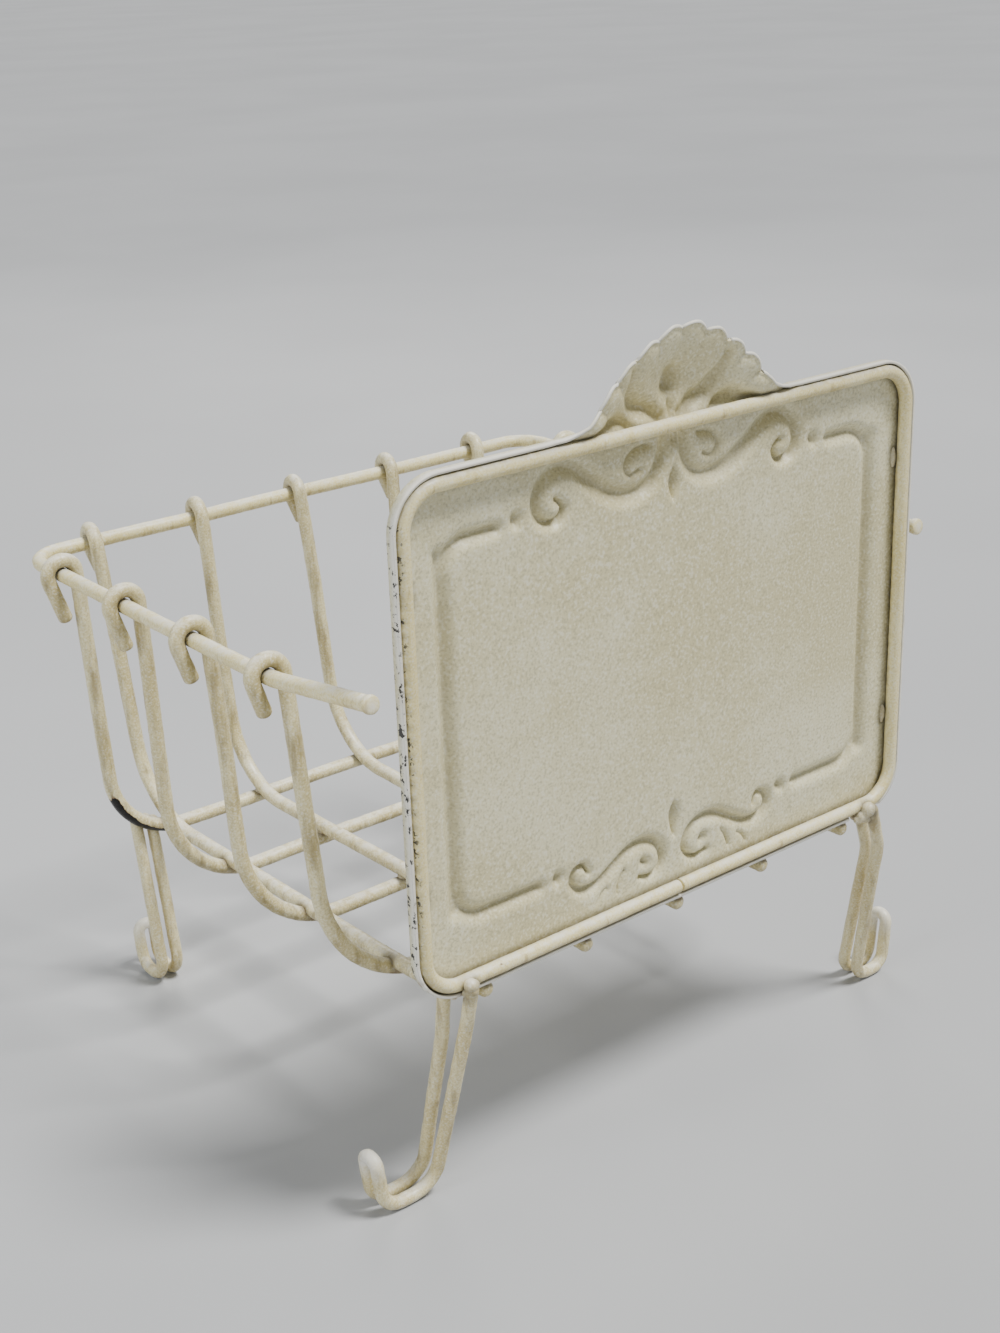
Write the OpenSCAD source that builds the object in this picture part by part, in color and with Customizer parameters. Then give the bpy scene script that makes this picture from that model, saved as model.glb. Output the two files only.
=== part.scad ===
// Letter tray: a welded wire basket on four hairpin legs, with a pressed sheet-metal plate
// and shell crest at the back. X is the width, -Y the low front rail, +Z up, and the feet
// stand on Z = 0. Every wire is a rod with round bends, laid along its own centre line.

/* [Wire] */
// Diameter of the frame wire and of the legs
wire_d = 3.3; // [3:0.1:3.6]
// Diameter of the rail and the ribs
rib_d = 3.8; // [3.3:0.1:4.2]
// Wire centre to wire centre in a hairpin leg
hairpin_pitch = 4.8; // [4.4:0.1:5.6]

/* [Plate] */
// Width of the plate over its flange
plate_w = 159.6; // [158:0.2:161]
// Height of the plate over its flange, without the crest
plate_h = 120.8; // [118:0.2:124]
// Height of the plate's lower edge above the table
plate_lift = 58.9; // [55:0.5:64]
// Outer corner radius of the plate
plate_corner = 12; // [9:0.5:16]
// Thickness of the sheet
sheet_t = 0.8; // [0.6:0.1:1.2]
// Depth of the flange over the sheet
flange_d = 3.2; // [2.4:0.1:4]
// Width of the shell crest at its foot
crest_w = 70; // [56:1:84]
// Height of the shell crest above the plate
crest_h = 20.8; // [14:0.2:28]

/* [Basket] */
// Width of the top rail, centre to centre of its arms
rail_w = 171.8; // [169:0.2:175]
// Distance from the plate's frame wire to the front of the rail
basket_depth = 159.2; // [150:0.2:166]
// Height of the front rail above the table
rail_z = 128.4; // [120:0.2:136]
// Rise of the rail's free ends above its front
rail_rise = 5.3; // [0:0.1:8]
// Bend radius of the rail's front corners
rail_corner = 9.3; // [8:0.1:14]
// Height of the long floor wires above the table
floor_z = 49.1; // [46:0.5:53]
// Spacing of the long ribs along the front rail
long_pitch = 32.9; // [30:0.1:35]
// How far the long ribs' hooks stand to one side of the middle
long_shift = 2; // [-3:0.1:3]
// Spacing of the long ribs on the floor
floor_pitch = 29.9; // [27:0.1:31]
// Spacing of the cross ribs along the rail's arms
cross_pitch = 32.6; // [29:0.1:34]

/* [Hidden] */
$fn = 48;

cream = [0.90, 0.88, 0.79];
greige = [0.80, 0.79, 0.73];
weld_colour = [0.82, 0.79, 0.68];

wire_r = wire_d / 2;
rib_r = rib_d / 2;
// A hook's wire goes round the rail with this centre radius
hook_r = rib_d + 0.05;
// The frame wire lies in the flange with a little play
frame_play = 0.3;
frame_inset = sheet_t + frame_play + wire_r;
frame_half = plate_w / 2 - frame_inset;
frame_low = plate_lift + frame_inset;
frame_high = plate_lift + plate_h - frame_inset;
frame_corner = plate_corner - frame_inset;
// The back legs stand on the frame wire's outer side with this small gap
leg_gap = 0.02;
// The model is centred on its footprint: the frame wire lies this far behind the origin
frame_y = (basket_depth + hook_r + rib_r - wire_d - leg_gap - wire_r) / 2;
front_y = frame_y - basket_depth;
// Faces of the sheet
sheet_back = frame_y - wire_r;
sheet_front = sheet_back - sheet_t;

arm_x = rail_w / 2;
// The rail's arms stop just short of the plate's plane
arm_end_y = frame_y - 1;
arm_bend_y = frame_y - 40;

// The cross ribs hang below the long ribs
cross_z = floor_z - rib_d;
cross_first_y = front_y + 20.1;
// On the floor the cross ribs start further forward and spread a little more than on the rail
cross_shift = 7.2;
cross_spread = 1.126;
// The first one lies higher and further forward, against the outside of the long ribs' front bends
first_shift = 1.7;
first_rise = 2.7;
// Slope of the line between the two wires where the first one touches a bend
first_slope = 26.6;
function floor_rib_y(index) = index == 0 ? cross_first_y - first_shift
    : cross_first_y - cross_shift + index * cross_pitch * cross_spread;
function floor_rib_z(index) = cross_z + (index == 0 ? first_rise : 0);
rib_lean_x = 4.1;
function cross_bend(index) = index == 0 ? 21 : 24 + 2 * index;
long_bend = 22;
long_lean_y = 5.5;
// Each long rib's front bend stands this far to +X of its floor wire's back end
long_sway = [3, 3, -2.4, 0, 0];
// The tails of the cross ribs get shorter toward the plate
cross_tail = 12.8;
cross_tail_step = 1.2;
long_tail = 9;
// A hook steps along the rail by this much, and its tail turns in and drifts along by these angles
cross_step = 0.4;
cross_turn = 18;
cross_drift = 0;
long_step = 1.5;
long_turn = 20;
long_drift = 12;
// The long ribs rise to pass under the plate's lower flange
rise_run = 26;
rib_end_z = plate_lift - rib_r - 0.55;
rib_end_y = frame_y + 0.3;
// Bend radii of a leg: at its knee, and at its foot as a share of the foot's reach
knee_bend = 24;
ankle_bend = 0.5;
toe_bend = 0.38;

// Bends and straights stop this far short of each other, inside the sleeve that joins them
joint_gap = 0.08;
sleeve_reach = 0.25;
shortest_straight = 1.2;

// Vector helpers
function unit(v) = v / norm(v);
function turn_angle(a, b, c) = acos(max(-1, min(1, unit(b - a) * unit(c - b))));
function bend_setback(a, b, c, r) = r * tan(turn_angle(a, b, c) / 2);

// Puts its children at a point, with their Z axis along the way
module along(at, way) {
    side = unit(abs(way.z) < 0.9 ? cross([0, 0, 1], way) : cross([0, 1, 0], way));
    other = cross(way, side);
    multmatrix([[side.x, other.x, way.x, at.x], [side.y, other.y, way.y, at.y],
        [side.z, other.z, way.z, at.z], [0, 0, 0, 1]])
        children();
}

// A part torus that turns the wire at point b, short of its two ends by the joint gap
module bend(a, b, c, r, thick) {
    angle = turn_angle(a, b, c);
    gap_angle = joint_gap / r * 180 / PI;
    way = unit(b - a);
    start = b - way * bend_setback(a, b, c, r);
    centre = b + unit(unit(c - b) - way) * r / cos(angle / 2);
    out = unit(start - centre);
    up = cross(out, way);
    multmatrix([[out.x, way.x, up.x, centre.x], [out.y, way.y, up.y, centre.y],
        [out.z, way.z, up.z, centre.z], [0, 0, 0, 1]])
        rotate([0, 0, gap_angle]) rotate_extrude(angle = angle - 2 * gap_angle)
            translate([r, 0]) circle(thick);
}

// A sleeve, a hair wider than the wire, that joins a bend to the piece beside it
module sleeve(at, way, thick, length = 0) {
    along(at - way * sleeve_reach, way)
        cylinder(h = length + 2 * sleeve_reach, r = thick + 0.03);
}

// A wire through the points, with the bend radius of each inner point. thick is half its diameter.
module wire(points, radii, thick) {
    last = len(points) - 1;
    function setback(i) = i == 0 || i == last ? 0
        : bend_setback(points[i - 1], points[i], points[i + 1], radii[i - 1]);
    union() {
        for (i = [0:last - 1]) {
            way = unit(points[i + 1] - points[i]);
            from = points[i] + way * setback(i);
            length = norm(points[i + 1] - points[i]) - setback(i) - setback(i + 1);
            start_gap = i > 0 ? joint_gap : 0;
            end_gap = i < last - 1 ? joint_gap : 0;
            if (length < shortest_straight)
                sleeve(from, way, thick, length);
            else {
                along(from + way * start_gap, way)
                    cylinder(h = length - start_gap - end_gap, r = thick);
                if (i > 0) sleeve(from, way, thick);
                if (i < last - 1) sleeve(from + way * length, way, thick);
            }
        }
        for (i = [1:last - 1])
            bend(points[i - 1], points[i], points[i + 1], radii[i - 1], thick);
    }
}

// A rectangle with round corners, centred on X with its lower edge on the X axis
module rounded_plate(w, h, r) {
    translate([-w / 2 + r, 0]) square([w - 2 * r, h]);
    translate([-w / 2, r]) square([w, h - 2 * r]);
    for (x = [-w / 2 + r, w / 2 - r], y = [r, h - r])
        translate([x, y]) circle(r);
}

// Turns a flat outline into a slab between two depths, with the outline upright in X and Z
module upright(near, far) {
    translate([0, far, plate_lift]) rotate([90, 0, 0]) linear_extrude(far - near) children();
}

// The crest's outline: a scalloped shell that flares into the plate's upper edge
crest_steps = 64;
lobe_share = 0.05;
lobe_turn = 90 * 9;
function crest_height(t) = crest_h * pow(cos(90 * t), 1.3) * (1 - lobe_share * (1 - abs(cos(lobe_turn * t))));
module crest_outline() {
    overlap = 2;
    polygon(concat(
        [for (i = [0:crest_steps]) let (t = 1 - 2 * i / crest_steps)
            [t * crest_w / 2, plate_h + crest_height(t)]],
        [[-crest_w / 2, plate_h - overlap], [crest_w / 2, plate_h - overlap]]));
}

// Pressed pan with a flange toward the back, a raised border and the shell crest
module plate() {
    border_w = 3;
    border_rise = 0.7;
    border_gap = 92;
    border_corner = 8;
    // Outer edge of the border from the plate's sides and from its two ends
    side_in = 11.8;
    end_in = 15.4;
    border_out_w = plate_w - 2 * side_in;
    border_out_h = plate_h - 2 * end_in;
    color(greige) union() {
        upright(sheet_front, sheet_back) rounded_plate(plate_w, plate_h, plate_corner);
        upright(sheet_back, sheet_front + flange_d) difference() {
            rounded_plate(plate_w, plate_h, plate_corner);
            translate([0, sheet_t])
                rounded_plate(plate_w - 2 * sheet_t, plate_h - 2 * sheet_t, plate_corner - sheet_t);
        }
        upright(sheet_front, sheet_back) crest_outline();
        for (side = [-1, 1])
            upright(sheet_front - border_rise, sheet_front) intersection() {
                difference() {
                    translate([0, end_in]) rounded_plate(border_out_w, border_out_h, border_corner);
                    translate([0, end_in + border_w])
                        rounded_plate(border_out_w - 2 * border_w, border_out_h - 2 * border_w,
                            border_corner - border_w);
                }
                translate([side * (border_gap + plate_w) / 2 - plate_w / 2, 0]) square([plate_w, plate_h]);
            }
    }
}

// Closed wire loop inside the flange, butted at the middle of its lower side
module frame_wire() {
    seam = 0.15;
    low = [0, frame_y, frame_low];
    color(cream) wire([low + [seam, 0, 0],
        [frame_half, frame_y, frame_low], [frame_half, frame_y, frame_high],
        [-frame_half, frame_y, frame_high], [-frame_half, frame_y, frame_low],
        low - [seam, 0, 0]], [frame_corner, frame_corner, frame_corner, frame_corner], wire_r);
}

// U-shaped rail, open at the plate, with both free ends bent up a little
module top_rail() {
    rail_bend = 60;
    color(cream) wire([[arm_x, arm_end_y, rail_z + rail_rise], [arm_x, arm_bend_y, rail_z],
        [arm_x, front_y, rail_z], [-arm_x, front_y, rail_z],
        [-arm_x, arm_bend_y, rail_z], [-arm_x, arm_end_y, rail_z + rail_rise]],
        [rail_bend, rail_corner, rail_corner, rail_bend], rib_r);
}

// Points of a hook over the rail at (0, 0), from its tail to the top of its upright.
// The first number is across the rail with the tail outside, the second is along it, the third is up.
// The tail stands a step along the rail, turns in under it by one angle and drifts along it by another.
function hook_points(step, turn, drift, tail) = let (
        way = unit([-tan(turn), -tan(drift), -1]),
        turn_z = -hook_r * tan(acos(-way.z) / 2) - 0.1,
        outside = [hook_r, -step, turn_z])
    [outside + way * tail, outside, [hook_r, -step, hook_r], [-hook_r, 0, hook_r]];
hook_radii = [hook_r, hook_r, hook_r];
function reversed(list) = [for (i = [len(list) - 1:-1:0]) list[i]];

// Height of the rail's arms above its front at a place along them
function arm_lift(y) = max(0, (y - arm_bend_y) / (arm_end_y - arm_bend_y)) * rail_rise;

// U-shaped rib hooked over both arms of the rail
module cross_rib(index) {
    top_y = cross_first_y + index * cross_pitch;
    hook_z = rail_z + arm_lift(top_y);
    function hook(side) = [for (p = hook_points(cross_step, cross_turn, cross_drift,
            cross_tail - index * cross_tail_step))
        [side * (arm_x + p.x), top_y + p.y, hook_z + p.z]];
    function low(side) = [side * (arm_x - hook_r - rib_lean_x), floor_rib_y(index), floor_rib_z(index)];
    color(cream) wire(concat(hook(1), [low(1), low(-1)], reversed(hook(-1))),
        concat(hook_radii, [cross_bend(index), cross_bend(index)], hook_radii), rib_r);
}

// The long ribs' floor wires start behind the front bend and end where they rise to the plate
long_front_y = front_y + hook_r + long_lean_y;
rise_y = rib_end_y - rise_run;
function floor_x(index, y) = (2 - index) * floor_pitch
    + long_sway[index] * (rise_y - y) / (rise_y - long_front_y);

// J-shaped rib hooked over the front rail, which runs back along the floor to the plate
module long_rib(index) {
    top_x = long_shift + (2 - index) * long_pitch;
    low_x = floor_x(index, rise_y);
    function hook() = [for (p = hook_points(long_step, long_turn, long_drift, long_tail))
        [top_x + p.y, front_y - p.x, rail_z + p.z]];
    color(cream) wire(concat(hook(), [
        [floor_x(index, long_front_y), long_front_y, floor_z], [low_x, rise_y, floor_z],
        [low_x, rib_end_y - rise_run / 4, rib_end_z], [low_x, rib_end_y, rib_end_z]]),
        concat(hook_radii, [long_bend, 20, 8]), rib_r);
}

// Hairpin leg: one wire down, round the curled foot and back up beside itself.
// first and second are the upper points of its two strands, ankle is where the first strand
// meets the table, curl points the way the foot curls, and beside is the step between strands.
module hairpin_leg(first, second, ankle, curl, beside, reach, tip_z) {
    toe = ankle + curl * reach;
    tip = toe + [0, 0, tip_z - ankle.z] + curl * 1.6;
    turn = hairpin_pitch / 2 - 0.01;
    knees = [for (i = [1:1:len(first) - 1]) knee_bend];
    color(cream) wire(
        concat(first, [ankle, toe, tip, tip + beside, toe + beside, ankle + beside], reversed(second)),
        concat(knees, [reach * ankle_bend, reach * toe_bend, turn, turn,
            reach * toe_bend, reach * ankle_bend], knees), wire_r);
}

// The back legs stand at the plate: one strand on the frame wire, the other before the sheet.
// The tops and knees are measured from the middle of the frame wire's lower side.
module back_leg(top_x, knee, ankle, reach, tip_z) {
    side = sign(top_x);
    beside = [0, -hairpin_pitch, 0];
    low = [0, frame_y, frame_low];
    first_y = wire_d + leg_gap;
    second_y = sheet_front - wire_r - leg_gap - frame_y;
    hairpin_leg([low + [top_x, first_y, -0.6], low + knee],
        [low + [top_x + side * 2, second_y, 2.5], low + knee + [side * 2.6, -hairpin_pitch - 1.2, -4]],
        [ankle.x, frame_y + ankle.y, wire_r], [side, 0, 0], beside, reach, tip_z);
}

// The front legs stand before the first cross rib, lean back, and their feet curl to the front.
// This is the one on the +X side, and the other is its mirror image.
module leg_front_right() {
    pair = [-hairpin_pitch, 0, 0];
    top = [71, floor_rib_y(0) - rib_r - wire_r - 0.15, floor_rib_z(0) + 6.2];
    ankle = [69.6, top.y + 5.2, wire_r];
    hairpin_leg([top], [top + pair - [0, 0, 3]], ankle, [0, -1, 0], pair, 12.2, 13.6);
}
module leg_front_left() {
    mirror([1, 0, 0]) leg_front_right();
}

bead_r = 2;

// Spot welds where the long ribs cross over the cross ribs
module floor_welds() {
    reach = 6 * bead_r;
    color(weld_colour) for (i = [0:3], j = [0:4])
        translate([floor_x(j, floor_rib_y(i)), floor_rib_y(i), floor_rib_z(i)])
            rotate([i == 0 ? -first_slope : 0, 0, 0]) translate([0, 0, rib_r]) difference() {
                sphere(bead_r);
                translate([0, reach / 2, rib_r]) rotate([90, 0, 0]) cylinder(h = reach, r = rib_r);
                translate([-reach / 2, 0, -rib_r]) rotate([0, 90, 0]) cylinder(h = reach, r = rib_r);
            }
}

// Tack welds between the frame wire and the sheet
module frame_welds() {
    tack_r = 1.1;
    tack_l = 5;
    color(weld_colour) for (x = [-1, 1], z = [0.2, 0.8])
        translate([x * (frame_half - wire_r - 0.25), sheet_back + 0.25,
            frame_low + z * (frame_high - frame_low) - tack_l / 2])
            difference() {
                cylinder(h = tack_l, r = tack_r);
                translate([-2 * tack_r, -2 * tack_r - 0.25, -1]) cube([4 * tack_r, 2 * tack_r, tack_l + 2]);
                translate([x * (wire_r + 0.25), wire_r - 0.25, -1]) cylinder(h = tack_l + 2, r = wire_r);
            }
}

// Welds between the ends of the long ribs and the plate's lower flange
module rib_end_welds() {
    weld_l = 3;
    color(weld_colour) for (j = [0:4])
        translate([(2 - j) * floor_pitch, sheet_front + 0.2, plate_lift - 0.5])
            rotate([-90, 0, 0]) difference() {
                cylinder(h = weld_l, r = rib_r);
                translate([-rib_d, -2 * rib_d - 0.5, -1]) cube([2 * rib_d, 2 * rib_d, weld_l + 2]);
                translate([0, rib_r + 0.05, -1]) cylinder(h = weld_l + 2, r = rib_r);
            }
}

// Welds at the upper ends of the legs: under the frame wire, and behind the first cross rib
module leg_welds() {
    color(weld_colour) {
        for (x = [66.4, -66.4])
            translate([x, frame_y + wire_r, frame_low - 1.6]) sphere(bead_r);
        for (side = [-1, 1])
            translate([side * 68.6, floor_rib_y(0) - rib_r, floor_rib_z(0) + 3.4]) sphere(bead_r);
    }
}

plate();
frame_wire();
top_rail();
cross_rib(0);  // cross_rib_1
cross_rib(1);  // cross_rib_2
cross_rib(2);  // cross_rib_3
cross_rib(3);  // cross_rib_4
long_rib(0);  // long_rib_1
long_rib(1);  // long_rib_2
long_rib(2);  // long_rib_3
long_rib(3);  // long_rib_4
long_rib(4);  // long_rib_5
leg_front_left();
leg_front_right();
back_leg(-66.4, [-73.4, 0.4, -14], [-76.4, -8.2], 11.2, 16.4);  // leg_back_left
back_leg(67.1, [66.4, -0.6, -12], [69.2, -12.4], 14.6, 15.8);  // leg_back_right
floor_welds();
frame_welds();
rib_end_welds();
leg_welds();
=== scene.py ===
import math

import bpy
import numpy as np
from mathutils import Matrix, Quaternion, Vector
from mathutils.kdtree import KDTree


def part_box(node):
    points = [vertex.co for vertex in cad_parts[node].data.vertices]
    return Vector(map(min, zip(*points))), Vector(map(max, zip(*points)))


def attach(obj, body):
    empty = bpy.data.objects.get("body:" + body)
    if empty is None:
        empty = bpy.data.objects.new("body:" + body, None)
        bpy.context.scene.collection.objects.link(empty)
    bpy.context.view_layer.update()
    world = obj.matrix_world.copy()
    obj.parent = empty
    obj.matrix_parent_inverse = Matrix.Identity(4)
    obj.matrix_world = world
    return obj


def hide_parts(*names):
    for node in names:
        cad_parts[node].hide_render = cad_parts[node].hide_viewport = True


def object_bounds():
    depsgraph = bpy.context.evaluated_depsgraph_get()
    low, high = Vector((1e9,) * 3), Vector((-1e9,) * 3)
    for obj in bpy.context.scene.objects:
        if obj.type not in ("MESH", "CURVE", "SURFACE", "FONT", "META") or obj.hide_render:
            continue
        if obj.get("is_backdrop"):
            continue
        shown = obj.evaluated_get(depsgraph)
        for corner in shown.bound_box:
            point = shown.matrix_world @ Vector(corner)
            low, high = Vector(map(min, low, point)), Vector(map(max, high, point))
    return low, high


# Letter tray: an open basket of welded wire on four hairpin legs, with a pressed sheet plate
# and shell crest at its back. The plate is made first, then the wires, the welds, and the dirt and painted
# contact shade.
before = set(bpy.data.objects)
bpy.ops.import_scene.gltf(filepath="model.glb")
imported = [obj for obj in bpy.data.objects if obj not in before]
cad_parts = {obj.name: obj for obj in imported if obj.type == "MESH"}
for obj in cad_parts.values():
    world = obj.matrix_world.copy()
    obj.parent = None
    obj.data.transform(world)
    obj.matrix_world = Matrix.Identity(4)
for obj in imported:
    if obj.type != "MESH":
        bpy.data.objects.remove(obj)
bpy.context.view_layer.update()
mm = 0.001


# ---- Plate ---------------------------------------------------------------------------------
# One pressed steel sheet: a flat panel with a grooved border and scrolls, a dished and fluted
# shell crest on its upper edge, and a flange turned over toward the back. Its lengths are in
# millimetres from the middle of the frame wire's lower side, and its grooves sink toward -Y.

frame_low, frame_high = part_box("frame_wire")
wire_r = (frame_high.y - frame_low.y) / 2 / mm - 0.03
frame_mid_y = (frame_low.y + frame_high.y) / 2
frame_base_z = frame_low.z + wire_r * mm
plate_low, plate_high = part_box("plate")

flange_depth = 3.2
sheet_thick = 0.7
flange_bend = 1.3
half_wide = plate_high.x / mm - flange_bend
low_edge = (plate_low.z - frame_base_z) / mm + flange_bend
crest_top = (plate_high.z - frame_base_z) / mm
crest_half = 35.0
crest_rise = 20.8
high_edge = crest_top - crest_rise - flange_bend
corner = 12.0 - flange_bend
sheet_y = plate_high.y / mm - flange_depth


def smooth(low, high, value):
    """0 below low, 1 above high, and a smooth step between them"""
    t = np.clip((value - low) / (high - low), 0, 1)
    return t * t * (3 - 2 * t)


def shell_angle(x, z):
    return np.arctan2(x, z - 106.0)


def scallop(angle):
    """1 on the crown of a lobe of the shell and 0 in the notch between two"""
    return np.abs(np.cos(13.04 * angle + 1.39))


def crest_line(x):
    """Height of the upper edge at x: ten lobes with nine notches, and a concave flare to the plate"""
    far = (0, 4, 10, 17, 20.5, 23, 25.5, 28, 31, 34, 38)
    rises = (20.0, 19.3, 17.0, 12.6, 9.9, 7.2, 4.2, 2.3, 0.9, 0.25, 0)
    rise = np.interp(np.abs(x), far, rises)
    lobes = scallop(shell_angle(x, high_edge + rise)) - 0.55
    return high_edge + rise + 1.5 * lobes * smooth(1.5, 7.0, rise)


def corner_drop(x):
    """How far a round corner pulls the plate's edge in at x"""
    over = np.clip(np.abs(x) - (half_wide - corner), 0, corner)
    return corner - np.sqrt(corner ** 2 - over ** 2)


def through(points, count=14):
    """A smooth run through given points, as evenly spaced (x, z, half width) rows"""
    p = np.array([points[0]] + list(points) + [points[-1]], float)
    rows = []
    for i in range(1, len(p) - 2):
        for t in np.arange(count) / count:
            rows.append(0.5 * (2 * p[i] + (p[i + 1] - p[i - 1]) * t
                               + (2 * p[i - 1] - 5 * p[i] + 4 * p[i + 1] - p[i + 2]) * t ** 2
                               + (3 * p[i] - p[i - 1] - 3 * p[i + 1] + p[i + 2]) * t ** 3))
    rows = np.array(rows + [p[-1]])
    run = np.concatenate([[0], np.cumsum(np.hypot(np.diff(rows[:, 0]), np.diff(rows[:, 1])))])
    even = np.linspace(0, run[-1], max(3, math.ceil(run[-1] / 0.35)))
    return np.stack([np.interp(even, run, rows[:, k]) for k in range(3)], 1)


def border_run():
    """The border groove of one side, from its upper end round two corners to its lower end"""
    side, top, foot, turn = 66.5, 101.8, 14.0, 8.0
    run = [(51.5, top, 2.3)]
    for centre_z, start in ((top - turn, 90), (foot + turn, 0)):
        for degrees in range(start, start - 91, -9):
            a = math.radians(degrees)
            run.append((side - turn + turn * math.cos(a), centre_z + turn * math.sin(a), 2.5))
    return through(run + [(42.5, foot, 2.3)], 8)


# Each groove is (points with half widths, depth), and all are pressed wider and deeper than that
groove_widen, groove_deepen = 1.3, 1.6
grooves = [
    (border_run(), 1.35),
    # upper scrolls: an S from the outer swirl down and in to the stem, an inner curl, and dots
    (through([(34.6, 104.6, 1.3), (32.6, 102.4, 1.5), (34.6, 99.7, 1.9), (38.6, 100.6, 2.2),
              (40.2, 104.4, 2.3), (38.4, 108.8, 2.4), (34, 111.2, 2.5), (29, 110, 2.7),
              (23.5, 106, 3.0), (17.5, 102.4, 3.1), (11.5, 101.4, 3.0), (6.6, 103, 2.7),
              (4, 107, 2.4), (3, 112, 2.2), (3.2, 116.5, 2.2)]), 1.5),
    (through([(7.6, 111.4, 1.2), (11.6, 110.8, 1.5), (14.2, 108.2, 1.6), (12.8, 105.4, 1.6),
              (9.8, 106.2, 1.5)]), 1.0),
    (through([(45.9, 102.8, 2.3), (46.1, 102.0, 2.1)]), 1.2),
    # shell: petals that open from the stem, a lower lobe, and a hollow in the middle
    (through([(3.2, 115, 2.0), (6.4, 118.6, 2.7), (10.8, 120.8, 3.0), (13.6, 125, 2.6),
              (14.6, 129, 1.6)]), 1.5),
    (through([(11.5, 114.6, 1.6), (16.2, 117.8, 2.7), (21.4, 117.4, 2.7), (25.5, 115.6, 1.4)]), 1.3),
    # lower scrolls: a curl, an S over to the middle, its small eye, and dots
    (through([(27.6, 12.6, 1.3), (28.8, 14.6, 1.6), (31.6, 14.0, 1.8), (32.2, 10.8, 1.9),
              (29.2, 8.4, 2.0), (24.4, 8.6, 2.1), (19.4, 11.3, 2.2), (14.6, 13.8, 2.3),
              (10.2, 14.4, 2.3), (6.2, 13.0, 2.2), (3.9, 9.8, 2.0), (4.4, 6.4, 1.7),
              (7.6, 4.6, 1.5), (11.2, 5.4, 1.3)]), 1.4),
    (through([(9.9, 9.3, 1.9), (9.4, 8.7, 1.8)]), 1.2),
    (through([(16.2, 9.2, 0.9), (17.8, 6.8, 1.2), (18.6, 4.2, 0.9)]), 0.7),
    (through([(21.8, 6.4, 0.9), (23.6, 5.2, 1.1), (24.6, 3.4, 0.8)]), 0.6),
    (through([(36.8, 14.6, 2.2), (37.2, 13.8, 2.0)]), 1.2),
]
# Grooves on the middle line: the upper drop, the stem, the shell's hollow and the lower drop
middle_grooves = [
    (through([(0, 104.4, 0.8), (0, 101.2, 2.1), (0.2, 97.6, 0.7)]), 1.3),
    (through([(0, 111, 1.4), (0, 115.5, 1.9), (0, 119.5, 1.2)]), 0.9),
    (through([(0, 123.4, 3.4), (0, 126.0, 3.1)]), 1.9),
    (through([(0, 21.8, 0.7), (0, 18.4, 2.2), (0, 13.2, 0.9)]), 1.35),
]


def spaced(*stops):
    """Rising values from (start, end, step) stretches, without the last end"""
    runs = [np.linspace(a, b, max(1, round((b - a) / step)), endpoint=False) for a, b, step in stops]
    return np.concatenate(runs)


def pressed_depth(x, z):
    """How far the grooves sink the sheet at each point"""
    depth = np.zeros(x.size)
    for mirrored in (1, -1):
        for run, deep in grooves + (middle_grooves if mirrored == 1 else []):
            rx, rz, wide = run[:, 0] * mirrored, run[:, 1], run[:, 2]
            reach = wide.max() * groove_widen
            near = np.where((x > rx.min() - reach) & (x < rx.max() + reach)
                            & (z > rz.min() - reach) & (z < rz.max() + reach))[0]
            for chunk in np.array_split(near, max(1, near.size // 4000)):
                gap = np.hypot(x[chunk, None] - rx, z[chunk, None] - rz) / (wide * groove_widen)
                groove = groove_deepen * deep * 0.5 * (1 + np.cos(math.pi * np.clip(gap.min(1), 0, 1)))
                depth[chunk] = np.maximum(depth[chunk], groove)
    return depth


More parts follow.
